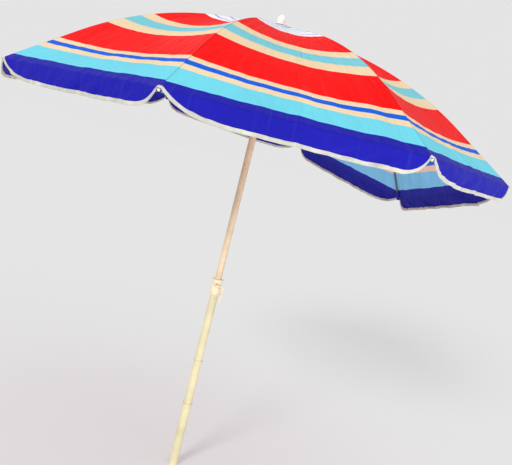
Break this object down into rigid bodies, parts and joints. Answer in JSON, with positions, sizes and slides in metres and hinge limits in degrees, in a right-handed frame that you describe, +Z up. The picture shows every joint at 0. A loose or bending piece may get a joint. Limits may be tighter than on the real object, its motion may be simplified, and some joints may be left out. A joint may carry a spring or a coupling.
{
  "type": "beach umbrella",
  "caption": "Striped folding beach umbrella: ribbed canopy on a sliding runner, telescoping clamped pole and plug-together lower tubes.",
  "frame": {"origin": "centre of the foot end of the pole", "axes": "+Z up along the pole; -Y is the clamp screw's side; ribs stand at 22.5 degrees from +X and every 45 degrees"},
  "size_m": [1.6829, 1.6968, 1.815],
  "materials": {
    "plastic_white": "satin",
    "plastic_ivory": "satin",
    "pole_paint": "satin",
    "upper_paint": "satin",
    "rib_paint": "satin",
    "bare_steel": "satin",
    "canopy_cloth": "woven"
  },
  "bodies": {
    "ground_pole": {"foot_plug": "plastic_white", "tube_bottom": "pole_paint"},
    "middle_pole": {"tube_middle": "pole_paint"},
    "top_pole": {"tube_top": "pole_paint", "collar": "plastic_ivory"},
    "pad": {"clamp_pad": "plastic_white"},
    "screw": {"clamp_screw": "bare_steel", "screw_handle": "plastic_ivory"},
    "mast": {"upper_pole": "upper_paint", "pole_guide": "plastic_white", "crown_hub": "plastic_ivory", "crown_pins": "bare_steel", "canopy_disc": "plastic_ivory", "finial": "plastic_ivory"},
    "runner": {"runner": "plastic_ivory", "runner_pins": "bare_steel"},
    "rib_1": {"rib_1": "rib_paint", "tip_cap_1": "plastic_ivory", "rivet_1": "bare_steel", "canopy_1": "canopy_cloth"},
    "stretcher_1": {"stretcher_1": "rib_paint"},
    "rib_2": {"rib_2": "rib_paint", "tip_cap_2": "plastic_ivory", "rivet_2": "bare_steel", "canopy_2": "canopy_cloth"},
    "stretcher_2": {"stretcher_2": "rib_paint"},
    "rib_3": {"rib_3": "rib_paint", "tip_cap_3": "plastic_ivory", "rivet_3": "bare_steel", "canopy_3": "canopy_cloth"},
    "stretcher_3": {"stretcher_3": "rib_paint"},
    "rib_4": {"rib_4": "rib_paint", "tip_cap_4": "plastic_ivory", "rivet_4": "bare_steel", "canopy_4": "canopy_cloth"},
    "stretcher_4": {"stretcher_4": "rib_paint"},
    "rib_5": {"rib_5": "rib_paint", "tip_cap_5": "plastic_ivory", "rivet_5": "bare_steel", "canopy_5": "canopy_cloth"},
    "stretcher_5": {"stretcher_5": "rib_paint"},
    "rib_6": {"rib_6": "rib_paint", "tip_cap_6": "plastic_ivory", "rivet_6": "bare_steel", "canopy_6": "canopy_cloth"},
    "stretcher_6": {"stretcher_6": "rib_paint"},
    "rib_7": {"rib_7": "rib_paint", "tip_cap_7": "plastic_ivory", "rivet_7": "bare_steel", "canopy_7": "canopy_cloth"},
    "stretcher_7": {"stretcher_7": "rib_paint"},
    "rib_8": {"rib_8": "rib_paint", "tip_cap_8": "plastic_ivory", "rivet_8": "bare_steel", "canopy_8": "canopy_cloth"},
    "stretcher_8": {"stretcher_8": "rib_paint"}
  },
  "joints": [
    {"name": "middle_plug", "type": "slide", "parent": "ground_pole", "child": "middle_pole", "axis": [0, 0, 1], "range_m": [0, 0.045]},
    {"name": "top_plug", "type": "slide", "parent": "middle_pole", "child": "top_pole", "axis": [0, 0, 1], "range_m": [0, 0.045]},
    {"name": "pad_slide", "type": "slide", "parent": "top_pole", "child": "pad", "axis": [0, -1, 0], "range_m": [0, 0.0016]},
    {"name": "clamp_turn", "type": "hinge", "parent": "pad", "child": "screw", "pos_m": [0, -0.03, 0.81692], "axis": [0, -1, 0], "range_deg": [0, 540]},
    {"name": "height_slide", "type": "slide", "parent": "top_pole", "child": "mast", "axis": [0, 0, 1], "range_m": [-0.16, 0.04]},
    {"name": "fold", "type": "hinge", "parent": "mast", "child": "rib_1", "pos_m": [0.02217, 0.00918, 1.769], "axis": [-0.3827, 0.9239, 0], "range_deg": [0, 58], "deforming": ["canopy_1", "canopy_2", "canopy_3", "canopy_4", "canopy_5", "canopy_6", "canopy_7", "canopy_8"]},
    {"name": "rib_fold_2", "type": "hinge", "parent": "mast", "child": "rib_2", "pos_m": [0.00918, 0.02217, 1.769], "axis": [-0.9239, 0.3827, 0], "range_deg": [0, 58]},
    {"name": "rib_fold_3", "type": "hinge", "parent": "mast", "child": "rib_3", "pos_m": [-0.00918, 0.02217, 1.769], "axis": [-0.9239, -0.3827, 0], "range_deg": [0, 58]},
    {"name": "rib_fold_4", "type": "hinge", "parent": "mast", "child": "rib_4", "pos_m": [-0.02217, 0.00918, 1.769], "axis": [-0.3827, -0.9239, 0], "range_deg": [0, 58]},
    {"name": "rib_fold_5", "type": "hinge", "parent": "mast", "child": "rib_5", "pos_m": [-0.02217, -0.00918, 1.769], "axis": [0.3827, -0.9239, 0], "range_deg": [0, 58]},
    {"name": "rib_fold_6", "type": "hinge", "parent": "mast", "child": "rib_6", "pos_m": [-0.00918, -0.02217, 1.769], "axis": [0.9239, -0.3827, 0], "range_deg": [0, 58]},
    {"name": "rib_fold_7", "type": "hinge", "parent": "mast", "child": "rib_7", "pos_m": [0.00918, -0.02217, 1.769], "axis": [0.9239, 0.3827, 0], "range_deg": [0, 58]},
    {"name": "rib_fold_8", "type": "hinge", "parent": "mast", "child": "rib_8", "pos_m": [0.02217, -0.00918, 1.769], "axis": [0.3827, 0.9239, 0], "range_deg": [0, 58]},
    {"name": "stretcher_fold_1", "type": "hinge", "parent": "rib_1", "child": "stretcher_1", "pos_m": [0.33312, 0.13798, 1.69898], "axis": [-0.3827, 0.9239, 0], "range_deg": [-98, 0]},
    {"name": "stretcher_fold_2", "type": "hinge", "parent": "rib_2", "child": "stretcher_2", "pos_m": [0.13798, 0.33312, 1.69898], "axis": [-0.9239, 0.3827, 0], "range_deg": [-98, 0]},
    {"name": "stretcher_fold_3", "type": "hinge", "parent": "rib_3", "child": "stretcher_3", "pos_m": [-0.13798, 0.33312, 1.69898], "axis": [-0.9239, -0.3827, 0], "range_deg": [-98, 0]},
    {"name": "stretcher_fold_4", "type": "hinge", "parent": "rib_4", "child": "stretcher_4", "pos_m": [-0.33312, 0.13798, 1.69898], "axis": [-0.3827, -0.9239, 0], "range_deg": [-98, 0]},
    {"name": "stretcher_fold_5", "type": "hinge", "parent": "rib_5", "child": "stretcher_5", "pos_m": [-0.33312, -0.13798, 1.69898], "axis": [0.3827, -0.9239, 0], "range_deg": [-98, 0]},
    {"name": "stretcher_fold_6", "type": "hinge", "parent": "rib_6", "child": "stretcher_6", "pos_m": [-0.13798, -0.33312, 1.69898], "axis": [0.9239, -0.3827, 0], "range_deg": [-98, 0]},
    {"name": "stretcher_fold_7", "type": "hinge", "parent": "rib_7", "child": "stretcher_7", "pos_m": [0.13798, -0.33312, 1.69898], "axis": [0.9239, 0.3827, 0], "range_deg": [-98, 0]},
    {"name": "stretcher_fold_8", "type": "hinge", "parent": "rib_8", "child": "stretcher_8", "pos_m": [0.33312, -0.13798, 1.69898], "axis": [0.3827, 0.9239, 0], "range_deg": [-98, 0]},
    {"name": "runner_slide", "type": "slide", "parent": "mast", "child": "runner", "axis": [0, 0, 1], "range_m": [-0.41836, 0]}
  ],
  "couplings": [
    {"joint": "rib_fold_2", "follows": "fold", "ratio": 1},
    {"joint": "rib_fold_3", "follows": "fold", "ratio": 1},
    {"joint": "rib_fold_4", "follows": "fold", "ratio": 1},
    {"joint": "rib_fold_5", "follows": "fold", "ratio": 1},
    {"joint": "rib_fold_6", "follows": "fold", "ratio": 1},
    {"joint": "rib_fold_7", "follows": "fold", "ratio": 1},
    {"joint": "rib_fold_8", "follows": "fold", "ratio": 1},
    {"joint": "stretcher_fold_1", "follows": "fold", "ratio": -1.6894},
    {"joint": "stretcher_fold_2", "follows": "fold", "ratio": -1.6894},
    {"joint": "stretcher_fold_3", "follows": "fold", "ratio": -1.6894},
    {"joint": "stretcher_fold_4", "follows": "fold", "ratio": -1.6894},
    {"joint": "stretcher_fold_5", "follows": "fold", "ratio": -1.6894},
    {"joint": "stretcher_fold_6", "follows": "fold", "ratio": -1.6894},
    {"joint": "stretcher_fold_7", "follows": "fold", "ratio": -1.6894},
    {"joint": "stretcher_fold_8", "follows": "fold", "ratio": -1.6894},
    {"joint": "runner_slide", "follows": "fold", "m_per_rad": -0.41318},
    {"joint": "pad_slide", "follows": "clamp_turn", "m_per_rad": 0.00015915}
  ]
}
